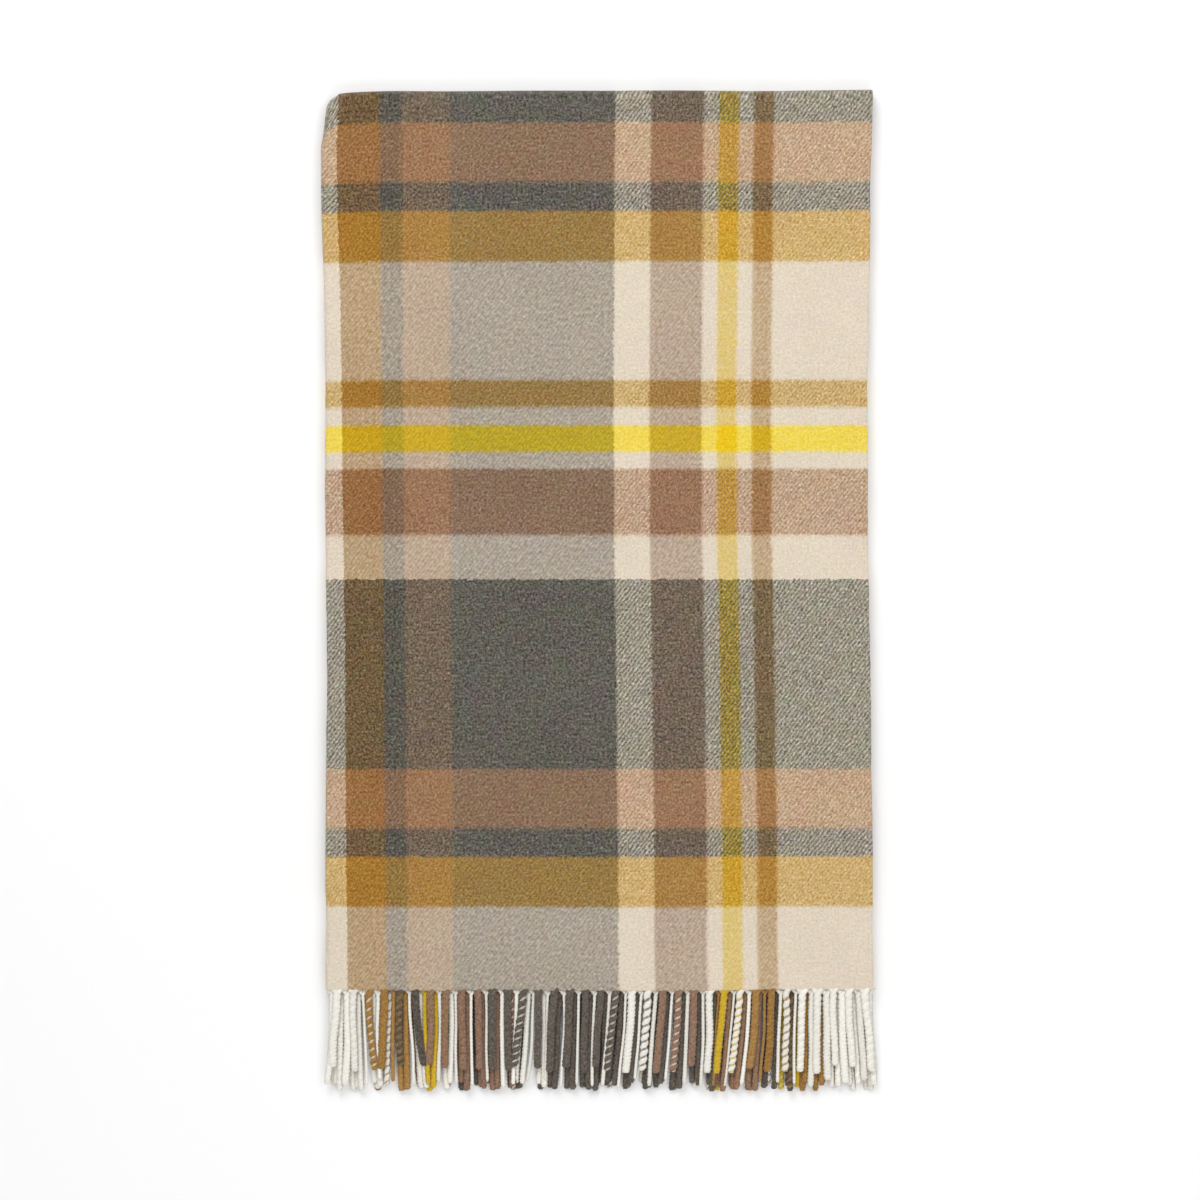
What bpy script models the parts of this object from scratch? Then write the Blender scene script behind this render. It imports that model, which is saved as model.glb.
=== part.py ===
"""Folded throw blanket: one woven check cloth with a twisted fringe at both ends.

The cloth is folded in thirds along its length, like a letter, and then in half.  It lies flat.
+X runs across the stack to the open edges, +Y runs to the halving fold, +Z is up.  The origin is
under the middle of the whole stack, on the surface that it lies on.  Lengths are in metres.

The cloth is one piece on the real blanket.  Here it is parted at the halving fold, which opens
like a hinge, so that each half with its fringe is a body of its own.
"""

import math
import random

import bmesh
import bpy
from mathutils import Vector

# The folded stack
STACK_WIDTH = 0.500
STACK_LENGTH = 0.825
CLOTH_WIDTH = 1.480
CLOTH_THICKNESS = 0.0026
LAYER_PITCH = 0.0030
LAYERS_PER_HALF = 3
INNER_FOLD_INSET = 0.004

# The fringe
FRINGE_REACH = 0.090
TASSELS_PER_ROW = 35
TASSEL_WIDTH = 0.0070
TASSEL_TAPER = 0.85
TASSEL_GATHER = 0.009
TASSEL_HEADER = 0.0015
FRONT_TASSEL_SHORTEST = 0.066
FRONT_TASSEL_LONGEST = 0.076
BACK_TASSEL_SHORTEST = 0.082
TASSEL_DRIFT = 0.0016
FRINGE_LEAN = 0.0050
FRINGE_SPLAY = 0.0045

# Clearances and facets
TOUCH_GAP = 0.0003
ARC_STEPS = 3
LEFT_FOLD_STEPS = 6
RIGHT_FOLD_STEPS = 4
TASSEL_SIDES = 6

HALF_THICKNESS = CLOTH_THICKNESS / 2
HALF_HEIGHT = (LAYERS_PER_HALF - 0.5) * LAYER_PITCH + HALF_THICKNESS
MID_HEIGHT = HALF_HEIGHT + TOUCH_GAP / 2
TOP_Y = (STACK_LENGTH + FRINGE_REACH) / 2
FELL_Y = TOP_Y - STACK_LENGTH
ARC_CENTRE_Y = TOP_Y - HALF_HEIGHT

# Heights of the three layers of a half above the middle of the stack
MIDDLE_PANEL = 0.5 * LAYER_PITCH
INNER_FLAP = 1.5 * LAYER_PITCH
OUTER_PANEL = 2.5 * LAYER_PITCH

# The two lengthwise folds: the left one goes round the inner flap
LEFT_RADIUS = (OUTER_PANEL - MIDDLE_PANEL) / 2
RIGHT_RADIUS = (INNER_FLAP - MIDDLE_PANEL) / 2
SELVEDGE_X = STACK_WIDTH / 2
LEFT_X = -STACK_WIDTH / 2 + LEFT_RADIUS + HALF_THICKNESS
RIGHT_X = SELVEDGE_X - INNER_FOLD_INSET - RIGHT_RADIUS - HALF_THICKNESS
LEFT_FOLD_START = SELVEDGE_X - LEFT_X
LEFT_FOLD_END = LEFT_FOLD_START + math.pi * LEFT_RADIUS
RIGHT_FOLD_START = LEFT_FOLD_END + RIGHT_X - LEFT_X
RIGHT_FOLD_END = RIGHT_FOLD_START + math.pi * RIGHT_RADIUS

# Warp stripes with the width of each; the order repeats, after some more ecru at the selvedge
SELVEDGE_ECRU = 0.018
WARP_STRIPES = (
    ("ecru", 0.072),
    ("camel", 0.018),
    ("ecru", 0.014),
    ("yellow", 0.018),
    ("ecru", 0.014),
    ("taupe", 0.050),
    ("ecru", 0.033),
    ("charcoal", 0.148),
    ("tan", 0.044),
    ("slate", 0.020),
    ("ochre", 0.034),
)

YARN_COLOURS = {
    "ecru": (0.82, 0.74, 0.62, 1.0),
    "camel": (0.40, 0.22, 0.09, 1.0),
    "yellow": (0.86, 0.56, 0.03, 1.0),
    "taupe": (0.24, 0.16, 0.11, 1.0),
    "charcoal": (0.12, 0.11, 0.10, 1.0),
    "tan": (0.45, 0.30, 0.20, 1.0),
    "slate": (0.08, 0.08, 0.08, 1.0),
    "ochre": (0.60, 0.35, 0.10, 1.0),
    "cloth": (0.45, 0.38, 0.29, 1.0),
    "fringe": (0.38, 0.31, 0.23, 1.0),
}
WOOL_ROUGHNESS = 0.95


def clear_scene():
    for thing in list(bpy.data.objects):
        bpy.data.objects.remove(thing, do_unlink=True)


def wool(name):
    """The matte wool of one yarn colour, made once and then shared."""
    found = bpy.data.materials.get(name)
    if found:
        return found
    material = bpy.data.materials.new(name)
    material.use_nodes = True
    shader = material.node_tree.nodes["Principled BSDF"]
    shader.inputs["Base Color"].default_value = YARN_COLOURS[name]
    shader.inputs["Roughness"].default_value = WOOL_ROUGHNESS
    shader.inputs["Metallic"].default_value = 0.0
    return material


def add_object(name, bm, yarn):
    """One closed body with its faces out, under its own name."""
    bmesh.ops.recalc_face_normals(bm, faces=bm.faces[:])
    mesh = bpy.data.meshes.new(name)
    bm.to_mesh(mesh)
    bm.free()
    mesh.materials.append(wool(yarn))
    made = bpy.data.objects.new(name, mesh)
    bpy.context.scene.collection.objects.link(made)
    return made


def across_stack(s, n):
    """Place across the letter fold: s from the open selvedge, n out of the cloth."""
    if s <= LEFT_FOLD_START:
        return SELVEDGE_X - s, OUTER_PANEL + n
    if s <= LEFT_FOLD_END:
        turn = (s - LEFT_FOLD_START) / LEFT_RADIUS
        radius = LEFT_RADIUS + n
        return LEFT_X - radius * math.sin(turn), INNER_FLAP + radius * math.cos(turn)
    if s <= RIGHT_FOLD_START:
        return LEFT_X + s - LEFT_FOLD_END, MIDDLE_PANEL - n
    if s <= RIGHT_FOLD_END:
        turn = (s - RIGHT_FOLD_START) / RIGHT_RADIUS
        radius = RIGHT_RADIUS + n
        middle = (MIDDLE_PANEL + INNER_FLAP) / 2
        return RIGHT_X + radius * math.sin(turn), middle - radius * math.cos(turn)
    return RIGHT_X - (s - RIGHT_FOLD_END), INNER_FLAP + n


def over_halving_fold(height, along):
    """Place along the cloth: 0 to 1 is the quarter round, 1 to 2 the straight run to the fell."""
    if along < 1:
        turn = along * math.pi / 2
        return ARC_CENTRE_Y + height * math.cos(turn), height * math.sin(turn)
    return ARC_CENTRE_Y + (along - 1) * (FELL_Y - ARC_CENTRE_Y), height


def steps(start, end, count):
    return [start + (end - start) * k / count for k in range(1, count + 1)]


def make_cloth_half(name, side):
    """Three layers of cloth in one closed strip; side is 1 for the upper half, -1 for the lower."""
    across = [0.0, LEFT_FOLD_START]
    across += steps(LEFT_FOLD_START, LEFT_FOLD_END, LEFT_FOLD_STEPS)
    across += [RIGHT_FOLD_START]
    across += steps(RIGHT_FOLD_START, RIGHT_FOLD_END, RIGHT_FOLD_STEPS)
    across += [CLOTH_WIDTH]
    along = [0.0] + steps(0.0, 1.0, ARC_STEPS) + [2.0]
    columns = len(across) - 1
    rows = len(along) - 1
    bm = bmesh.new()
    bmesh.ops.create_grid(bm, x_segments=columns, y_segments=rows, size=0.5)
    bmesh.ops.solidify(bm, geom=bm.faces[:], thickness=1.0)
    deepest = min(v.co.z for v in bm.verts)
    for v in bm.verts:
        s = across[round((v.co.x + 0.5) * columns)]
        t = along[round((v.co.y + 0.5) * rows)]
        n = (v.co.z - deepest - 0.5) * CLOTH_THICKNESS
        x, height = across_stack(s, n)
        y, height = over_halving_fold(height, t)
        v.co = Vector((x, y, MID_HEIGHT + side * (height + TOUCH_GAP / 2)))
    add_object(name, bm, "cloth")


def stripe_at(s):
    """The warp yarn at a distance from the open selvedge."""
    s = max(s - SELVEDGE_ECRU, 0.0) % sum(width for _, width in WARP_STRIPES)
    for yarn, width in WARP_STRIPES:
        if s < width:
            return yarn
        s -= width
    return WARP_STRIPES[0][0]


def extrude_ring(bm, face, centre, width, thickness):
    """Carry one end face on to the next cross-section and give the new end face."""
    made = bmesh.ops.extrude_face_region(bm, geom=[face])["geom"]
    if any(len(edge.link_faces) > 2 for edge in face.edges):
        bmesh.ops.delete(bm, geom=[face], context="FACES_ONLY")
    ring = [g for g in made if isinstance(g, bmesh.types.BMVert)]
    old = sum((v.co for v in ring), Vector()) / len(ring)
    old_width = max(v.co.x for v in ring) - min(v.co.x for v in ring)
    old_thickness = max(v.co.z for v in ring) - min(v.co.z for v in ring)
    for v in ring:
        away = v.co - old
        v.co.x = centre.x + away.x * width / old_width
        v.co.y = centre.y
        v.co.z = centre.z + away.z * thickness / old_thickness
    return next(g for g in made if isinstance(g, bmesh.types.BMFace))


def lean_at(across):
    """How far a tip lies to the right of its root; across is -1 at the left edge, 1 at the right."""
    return FRINGE_SPLAY * across**5 - FRINGE_LEAN * (1 - across**4)


def make_front_tassel(number, draw):
    """One tassel of the row that lies on top, gathered from the cloth's edge to a strand."""
    pitch = LEFT_FOLD_START / TASSELS_PER_ROW
    s = (number - 0.5) * pitch
    height = MID_HEIGHT + TOUCH_GAP / 2 + OUTER_PANEL
    root = Vector((SELVEDGE_X - s, FELL_Y - TOUCH_GAP, height))
    length = draw.uniform(FRONT_TASSEL_SHORTEST, FRONT_TASSEL_LONGEST)
    drift = lean_at(root.x / SELVEDGE_X) + draw.uniform(-TASSEL_DRIFT, TASSEL_DRIFT)
    neck = root + Vector((0, -TASSEL_GATHER, 0))
    middle = root + Vector((drift * 0.4, -length * 0.55, 0))
    tip = root + Vector((drift, -length, 0))
    bm = bmesh.new()
    bmesh.ops.create_circle(bm, cap_ends=True, segments=TASSEL_SIDES, radius=0.5)
    span = max(v.co.x for v in bm.verts) * 2
    rise = max(v.co.y for v in bm.verts) * 2
    for v in bm.verts:
        x = root.x + v.co.x / span * (pitch - 3 * TOUCH_GAP)
        z = root.z + v.co.y / rise * CLOTH_THICKNESS
        v.co = Vector((x, root.y, z))
    end = bm.faces[:][0]
    end = extrude_ring(bm, end, neck, TASSEL_WIDTH, CLOTH_THICKNESS)
    end = extrude_ring(bm, end, middle, TASSEL_WIDTH, CLOTH_THICKNESS)
    extrude_ring(bm, end, tip, TASSEL_WIDTH * TASSEL_TAPER, CLOTH_THICKNESS * TASSEL_TAPER)
    add_object(f"front_tassel_{number:02d}", bm, stripe_at(s))


def make_fringe_row(name, height, side, draw):
    """One of the rows underneath: its tassels hang from a thin header along the fell."""
    across_left = LEFT_X
    across_right = SELVEDGE_X
    if abs(height) < OUTER_PANEL:
        across_right = RIGHT_X
    pitch = (across_right - across_left) / TASSELS_PER_ROW
    level = MID_HEIGHT + side * (TOUCH_GAP / 2 + height)
    bm = bmesh.new()
    bmesh.ops.create_grid(bm, x_segments=TASSELS_PER_ROW, y_segments=1, size=0.5)
    bmesh.ops.solidify(bm, geom=bm.faces[:], thickness=1.0)
    deepest = min(v.co.z for v in bm.verts)
    for v in bm.verts:
        x = across_left + (v.co.x + 0.5) * (across_right - across_left)
        y = FELL_Y - TOUCH_GAP - (0.5 - v.co.y) * TASSEL_HEADER
        z = level + (v.co.z - deepest - 0.5) * CLOTH_THICKNESS
        v.co = Vector((x, y, z))
    hem = FELL_Y - TOUCH_GAP - TASSEL_HEADER
    roots = [f for f in bm.faces if all(abs(v.co.y - hem) < TOUCH_GAP / 10 for v in f.verts)]
    roots.sort(key=lambda f: f.calc_center_median().x)
    for end in bmesh.ops.extrude_discrete_faces(bm, faces=roots)["faces"]:
        middle = end.calc_center_median()
        for v in end.verts:
            v.co.x = middle.x + (v.co.x - middle.x) * TASSEL_WIDTH / pitch
            v.co.y = FELL_Y - TASSEL_GATHER
        bottom = FELL_Y - draw.uniform(BACK_TASSEL_SHORTEST, FRINGE_REACH)
        drift = draw.uniform(-TASSEL_DRIFT, TASSEL_DRIFT)
        centre = Vector((middle.x + drift, bottom, level))
        extrude_ring(bm, end, centre, TASSEL_WIDTH * TASSEL_TAPER, CLOTH_THICKNESS)
    add_object(name, bm, "fringe")


def build():
    clear_scene()
    draw = random.Random(11)
    make_cloth_half("upper_cloth", 1)
    make_cloth_half("lower_cloth", -1)
    for number in range(1, TASSELS_PER_ROW + 1):
        make_front_tassel(number, draw)
    make_fringe_row("upper_flap_fringe", INNER_FLAP, 1, draw)
    make_fringe_row("upper_middle_fringe", MIDDLE_PANEL, 1, draw)
    make_fringe_row("lower_middle_fringe", MIDDLE_PANEL, -1, draw)
    make_fringe_row("lower_flap_fringe", INNER_FLAP, -1, draw)
    make_fringe_row("lower_outer_fringe", OUTER_PANEL, -1, draw)


build()
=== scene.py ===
"""A brushed wool check throw, folded in thirds and then in half, lying flat with its fringe towards
the viewer.

The cloth is one sheet.  It is woven flat in its own coordinates, s across from the open selvedge and
t along from the halving fold, and every point is then carried round the folds.  The fringe is made of
two-ply tassels whose yarns carry on the stripes of the warp.  Lengths are in metres.
"""

import math
import random

import bmesh
import bpy
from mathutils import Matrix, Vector, noise


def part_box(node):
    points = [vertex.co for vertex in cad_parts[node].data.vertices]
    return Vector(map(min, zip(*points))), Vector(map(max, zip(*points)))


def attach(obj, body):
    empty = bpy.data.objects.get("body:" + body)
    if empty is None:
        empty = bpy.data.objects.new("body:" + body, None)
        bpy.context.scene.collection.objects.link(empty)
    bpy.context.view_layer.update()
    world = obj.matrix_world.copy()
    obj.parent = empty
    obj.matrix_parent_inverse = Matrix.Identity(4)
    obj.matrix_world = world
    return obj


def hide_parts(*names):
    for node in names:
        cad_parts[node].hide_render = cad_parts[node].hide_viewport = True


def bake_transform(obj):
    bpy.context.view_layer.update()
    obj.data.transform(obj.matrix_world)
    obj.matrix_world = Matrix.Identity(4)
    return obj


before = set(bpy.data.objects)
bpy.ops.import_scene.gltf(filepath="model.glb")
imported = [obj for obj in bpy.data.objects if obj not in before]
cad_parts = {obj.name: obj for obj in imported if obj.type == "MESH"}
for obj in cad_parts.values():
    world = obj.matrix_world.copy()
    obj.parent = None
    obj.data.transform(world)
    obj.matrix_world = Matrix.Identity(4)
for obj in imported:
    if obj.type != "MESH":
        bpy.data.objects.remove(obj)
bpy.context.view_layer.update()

bl_info = {
    "name": "Folded check throw",
    "version": (1, 0, 0),
    "blender": (4, 5, 0),
    "location": "3D View > Sidebar > Throw",
    "description": "Builds a folded wool check throw with a twisted fringe",
    "category": "Object",
}

# What the frame says: the two halves of the cloth and the fold between them
UPPER_LOW, UPPER_HIGH = (Vector(corner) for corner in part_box("upper_cloth"))
LOWER_LOW, LOWER_HIGH = (Vector(corner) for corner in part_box("lower_cloth"))
MID_HEIGHT = (UPPER_LOW.z + LOWER_HIGH.z) / 2
HALF_GAP = (UPPER_LOW.z - LOWER_HIGH.z) / 2
HALF_HEIGHT = UPPER_HIGH.z - UPPER_LOW.z
FELL_Y = UPPER_LOW.y
TOP_Y = UPPER_HIGH.y
SELVEDGE_X = UPPER_HIGH.x
FOLDED_X = UPPER_LOW.x

# The letter fold, as the frame's cloth has it: how far the middle of each panel's cloth lies from the
# inner face of its half, and where across the cloth its folds begin and end
LAYER_PITCH = 0.0030
CLOTH_WIDTH = 1.480
MIDDLE_PANEL = 0.5 * LAYER_PITCH
INNER_FLAP = 1.5 * LAYER_PITCH
OUTER_PANEL = 2.5 * LAYER_PITCH
CLOTH_THICKNESS = 2 * (HALF_HEIGHT + HALF_GAP - OUTER_PANEL) - 2 * HALF_GAP
LEFT_RADIUS = (OUTER_PANEL - MIDDLE_PANEL) / 2
RIGHT_RADIUS = (INNER_FLAP - MIDDLE_PANEL) / 2
INNER_FOLD_INSET = 0.004
LEFT_X = FOLDED_X + LEFT_RADIUS + CLOTH_THICKNESS / 2
RIGHT_X = SELVEDGE_X - INNER_FOLD_INSET - RIGHT_RADIUS - CLOTH_THICKNESS / 2
LEFT_FOLD_START = SELVEDGE_X - LEFT_X
LEFT_FOLD_END = LEFT_FOLD_START + math.pi * LEFT_RADIUS
RIGHT_FOLD_START = LEFT_FOLD_END + RIGHT_X - LEFT_X
RIGHT_FOLD_END = RIGHT_FOLD_START + math.pi * RIGHT_RADIUS
FLAP_END_X = RIGHT_X - (CLOTH_WIDTH - RIGHT_FOLD_END)

# The halving fold: cloth at the middle of the stack turns a quarter round on each side of it
ARC_CENTRE_Y = TOP_Y - HALF_HEIGHT
ARC_CLOTH = math.pi / 2 * INNER_FLAP
RUN = ARC_CENTRE_Y - FELL_Y
CLOTH_LENGTH = 2 * (RUN + ARC_CLOTH)

# The mesh of the cloth: lines round the halving fold in degrees, their step round the other folds, and
# lines beside an edge, which is rounded over LIP_WIDTH
HINGE_TURNS = (0, 0.6, 1.2, 1.8, 2.4, 4, 7, 12, 24, 40, 56, 73, 90)
LEFT_FOLD_STEP = LEFT_RADIUS / 2.6
RIGHT_FOLD_STEP = RIGHT_RADIUS / 2
LIP_LINES = tuple(CLOTH_THICKNESS / 2 * share for share in (0.25, 0.7, 1.4))
LIP_WIDTH = LIP_LINES[-1]
LIP_THINNEST = 0.35

# How the stack departs from a ruled block.  An edge's bow is given by its distance from the halving
# fold, and a drift by its seed, length and reach.  BOW_POWER fades out the bow across the top panel
FOLDED_EDGE_BOW = ((0.0, -0.001), (0.05, -0.0045), (0.22, -0.0005), (0.55, 0.0012), (0.82, 0))
FOLDED_EDGE_DRIFTS = ((1, 0.09, 0.0012), (2, 0.014, 0.0005))
BOW_POWER = 24
OPEN_EDGE_BOW = (
    (0.0, 0.0014), (0.10, -0.0018), (0.30, -0.0042), (0.38, -0.0040), (0.56, -0.0009), (0.74, 0.001)
)
OPEN_EDGE_DRIFTS = ((3, 0.07, 0.0008), (4, 0.011, 0.0007))
INNER_EDGE_DRIFTS = ((5, 0.1, 0.0025), (6, 0.02, 0.0008))
SEED_STEP = 7.31

# The round of the corner fades out along the stack in so many radii.  The halving fold rises a little
# and droops towards the folded edge, the fell rises, and each fades out over its reach
CORNER_FADE = 3
TOP_REACH = 0.25
TOP_RISE = 0.0010
TOP_DRIFTS = ((7, 0.11, 0.0013),)
DROOP = 0.0036
DROOP_WIDTH = 0.08
DROOP_LENGTH = 0.45
FELL_REACH = 0.25
FELL_RISE = 0.0020
FELL_DRIFTS = ((8, 0.08, 0.0014),)
UPPER_FELL_DRIFTS = ((10, 0.012, 0.0006),)
LOWER_FELL_DRIFTS = ((8, 0.012, 0.0006),)

# The swell of the stack's faces: waves in a metre across and along, seed and strength.  The underside
# is pressed flatter, and is lifted off the floor a little
SWELLS = ((7, 5, 3.0, 1.0), (19, 16, 8.0, 0.5))
UNDERSIDE_RIPPLE = 0.5
UNDERSIDE_SINK = 0.75
UNDERSIDE_SWELL = 0.5
FLOOR_CLEARANCE = 0.0001

# The weave, in stripes from the open selvedge and from the halving fold; both orders repeat
SELVEDGE_ECRU = 0.018
WARP_STRIPES = (
    ("ecru", 0.072),
    ("camel", 0.018),
    ("ecru", 0.014),
    ("yellow", 0.018),
    ("ecru", 0.014),
    ("taupe", 0.048),
    ("ecru", 0.033),
    ("charcoal", 0.151),
    ("tan", 0.044),
    ("slate", 0.020),
    ("ochre", 0.037),
)
WEFT_START = -0.1460
WEFT_STRIPES = (
    ("charcoal", 0.1743),
    ("tan", 0.0545),
    ("slate", 0.0260),
    ("ochre", 0.0460),
    ("ecru", 0.1085),
    ("camel", 0.0246),
    ("ecru", 0.0168),
    ("yellow", 0.0244),
    ("ecru", 0.0156),
    ("taupe", 0.0605),
    ("ecru", 0.0398),
)

# REPEATS_BEFORE keeps places in the weft above zero, the nap blurs a stripe's edge by EDGE_BLUR on
# each side, and WARP_SHARE is the warp's part in the colour of a crossing
REPEATS_BEFORE = 4.0
EDGE_BLUR = 0.0009
WARP_SHARE = 0.43

# Towards the fell the warp stripes drift to the open selvedge, the more the further they are beyond
# a place across the cloth
STRIPE_DRIFT = 0.0030
STRIPES_DRAW_FROM = 0.375
STRIPES_DRAW_WIDTH = 0.12
STRIPES_DRAW_IN = 0.045

# The front row of tassels, from the open selvedge: the main and the lesser yarn, and how far the tip
# lies to the right of the root, in millimetres
FRONT_ROW = (
    ("ecru", "ecru", 7),
    ("ecru", "ecru", 5),
    ("ecru", "ecru", 2),
    ("ecru", "ecru", 0),
    ("ecru", "ecru", -1),
    ("ecru", "ochre", -2),
    ("ochre", "ochre", -4),
    ("camel", "camel", -5),
    ("ecru", "yellow", -9),
    ("yellow", "yellow", -8),
    ("ecru", "ecru", -2),
    ("taupe", "taupe", -2),
    ("taupe", "ecru", -5),
    ("taupe", "taupe", -7),
    ("ecru", "charcoal", -6),
    ("ecru", "ecru", -6),
    ("charcoal", "ecru", -9),
    ("charcoal", "charcoal", -5),
    ("charcoal", "charcoal", -1),
    ("charcoal", "charcoal", -3),
    ("charcoal", "charcoal", -4),
    ("charcoal", "charcoal", -1),
    ("charcoal", "ecru", -9),
    ("charcoal", "charcoal", 1),
    ("charcoal", "charcoal", 0),
    ("taupe", "taupe", 1),
    ("taupe", "tan", 1),
    ("tan", "tan", -1),
    ("tan", "taupe", -2),
    ("slate", "slate", 8),
    ("slate", "ochre", 1),
    ("ochre", "ochre", -4),
    ("ochre", "ecru", 6),
    ("ecru", "ecru", 1),
    ("ecru", "ecru", -5),
)

# Strands of the row under it that show between the tassels of the front row and aren't ecru, by the
# number of the tassel on their right
SHOWING_BETWEEN = {7: "camel", 10: "ochre", 29: "yellow", 31: "camel"}

# Where the tassels grow from: in from the fell, aside from the even pitch and above their layer of the
# cloth; and how the rows underneath differ from the front one
TASSEL_PITCH = LEFT_FOLD_START / len(FRONT_ROW)
FRONT_ROOTS = (0.0022, 0.0042)
UNDER_ROOT = 0.0012
UPPER_ROW_ASIDE = 0.0048
LOWER_ROW_ASIDE = (-0.0025, 0.0025)
BETWEEN_ASIDE = 0.0016
BETWEEN_DRIFT = (-0.0006, 0.0006)
BETWEEN_LIFT = 0.0004
BETWEEN_SHORTER = 0.004
UNDER_FLATNESS = 0.40
UNDER_LEAN = 0.8

# What chance adds to a tassel
LENGTH_SPREAD = (-0.0045, 0.0035)
WIDTH_SPREAD = (0.92, 1.08)
BETWEEN_WIDTH_SPREAD = (0.7, 1.25)
TWIST_SPREAD = (0.93, 1.1)
GATHER_SPREAD = (0.8, 1.2)
BOW_SPREAD = (-0.0012, 0.0012)
SWAY_SPREAD = (-0.0004, 0.0004)
SETTLE_SPREAD = (0.22, 0.32)
FRONT_LEAN_SPREAD = (-0.0008, 0.0008)
UNDER_LEAN_SPREAD = (-0.0015, 0.0015)
SHADE_SPREAD = (-0.04, 0.04)

# The plies of a tassel: their bulk in it, how far they orbit, and how much they rise on top.  Two
# yarns that are unlike are a full ply and a thin one, which the full one's hairs veil
ALIKE = 0.3
EVEN_PLY = {"bulk": 0.82, "aside": 1.0, "lift": 1.0}
FULL_PLY = {"bulk": 0.86, "aside": 1.0, "lift": 1.0}
THIN_PLY = {"bulk": 0.44, "aside": 0.62, "lift": 1.35}
HAIR_VEIL = 0.35

# The mesh of a ply: its sides, and its rings in one turn of the twist
FRONT_MESH = (7, 7)
BETWEEN_MESH = (6, 5)
UNDER_MESH = (5, 5)

# How a ply leaves the cloth flat and wide, hangs with a lean and a sway, is fuzzy, and ends in a tip
ROOT_WIDTH = 0.97
ROOT_THICKNESS = 0.53
ROOT_START = 0.45
ROOT_RISE = 0.0035
LEAN_POWER = 1.3
SWAY_TURNS = 9
SWAY_START = 6
FUZZ = 0.16
FUZZ_PITCH = 260
FUZZ_SEEDS = 50
TIP_WIDTH = 0.6
TIP_LENGTH = 0.005

# The grain of the cloth, each kind with its waves in a metre, its detail and its roughness.  By the
# first the yarns wander, and by the second the nap drags the stripes' edges about
YARN_WANDER = (110.0, 3.0, 0.6)
YARN_WANDER_REACH = 0.0036
NAP_DRAG = (300.0, 3.0, 0.6)
NAP_DRAG_REACH = 0.0058
TUFTS = (300.0, 3.0, 0.7)
FLECKS = (430.0, 2.0, 0.75)
DYED_FIBRES = (380.0, 2.0, 0.75)
# Broad light and dark patches: painted shade that stands for the soft waves of the cloth
PAINTED_WAVE_SHADE = (14.0, 3.0, 0.5)
PATCHES = (55.0, 3.0, 0.6)
YARN_STREAKS = (1.0, 1.0, 0.5)
STREAK_STEP = 0.73
STREAK_WAVES = 90.0
END_SEED = 1.0
PICK_SEED = 5.0

# The twill repeats over four ends, and ENDS_BEFORE keeps its steps above zero
TWILL_REPEAT = 4.0
TWILL_UP = 1.5
ENDS_BEFORE = 8000.0
TWILL_WAVE = 0.35
TWILL_STEP = 0.3

# How strongly each shows: its level in a pale weft, and how it grows with the weft's darkness.  The
# warp shows less in a vivid weft
PALE_WEFT = 0.79
DARKENING = 2.3
TWILL_SHOWS = (0.40, 0.75)
NAP_SHOWS = (1.20, -0.35)
HEATHER_SHOWS = (0.52, 1.0)
PATCHES_SHOW = (0.04, 0.02)
STREAK_STRENGTH = 0.35
VIVID_MUTES = -0.4
DYED_STRENGTH = 0.12
# Strength of the broad patches of painted shade for the cloth's soft waves
PAINTED_WAVE_SHADE_STRENGTH = 0.05
RIDGE_SHADE = 0.04
RIDGE_SHADE_MIDDLE = -0.026
RIDGE_RELIEF = 0.6
LIGHTNESS = (0.30, 0.59, 0.11)
REDNESS = (1.0, 0.0, -1.0)

# The look of the tassels' wool
PLY_STRETCH = (26.0, 240.0, 1.0)
PLY_STREAKS = (1.0, 3.0, 0.5)
PLY_FLECKS = (520.0, 3.0, 0.7)
PLY_GRAIN_DARK = 0.6
PLY_GRAIN_LIGHTER = -0.5
BUMP_STRENGTH = 0.5
BUMP_DISTANCE = 0.0004
GAMMA = 2.2

# The lamps: place, size and power
LAMPS = (
    ("key_light", (-0.7, 2.0, 2.4), 1.6, 47.0),
    ("fill_light", (1.0, 0.6, 2.7), 2.0, 24.0),
    ("low_light", (0.2, -2.2, 2.0), 2.0, 26.0),
)
WORLD_STRENGTH = 0.41
SENSOR_WIDTH = 36.0
MILLIMETRES = 1000


def length_property(name, description, default):
    return bpy.props.FloatProperty(
        name=name, description=description, default=default, min=0.0, precision=4, unit="LENGTH"
    )


def share_property(name, description, default):
    return bpy.props.FloatProperty(
        name=name, description=description, default=default, min=0.0, max=1.0, subtype="FACTOR"
    )


def yarn_property(name, use, default):
    return bpy.props.FloatVectorProperty(
        name=name,
        description=f"Colour of the {name.lower()} {use} yarn",
        default=default,
        min=0.0,
        max=1.0,
        size=3,
        subtype="COLOR_GAMMA",
    )


class ThrowWarpYarns(bpy.types.PropertyGroup):
    """Colours of the yarns that run along the throw and make its fringe."""

    ecru: yarn_property("Ecru", "warp", (0.855, 0.800, 0.714))
    camel: yarn_property("Camel", "warp", (0.567, 0.406, 0.202))
    yellow: yarn_property("Yellow", "warp", (0.809, 0.645, 0.121))
    taupe: yarn_property("Taupe", "warp", (0.500, 0.383, 0.306))
    charcoal: yarn_property("Charcoal", "warp", (0.364, 0.338, 0.310))
    tan: yarn_property("Tan", "warp", (0.519, 0.393, 0.294))
    slate: yarn_property("Slate", "warp", (0.312, 0.283, 0.246))
    ochre: yarn_property("Ochre", "warp", (0.488, 0.311, 0.101))


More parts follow.
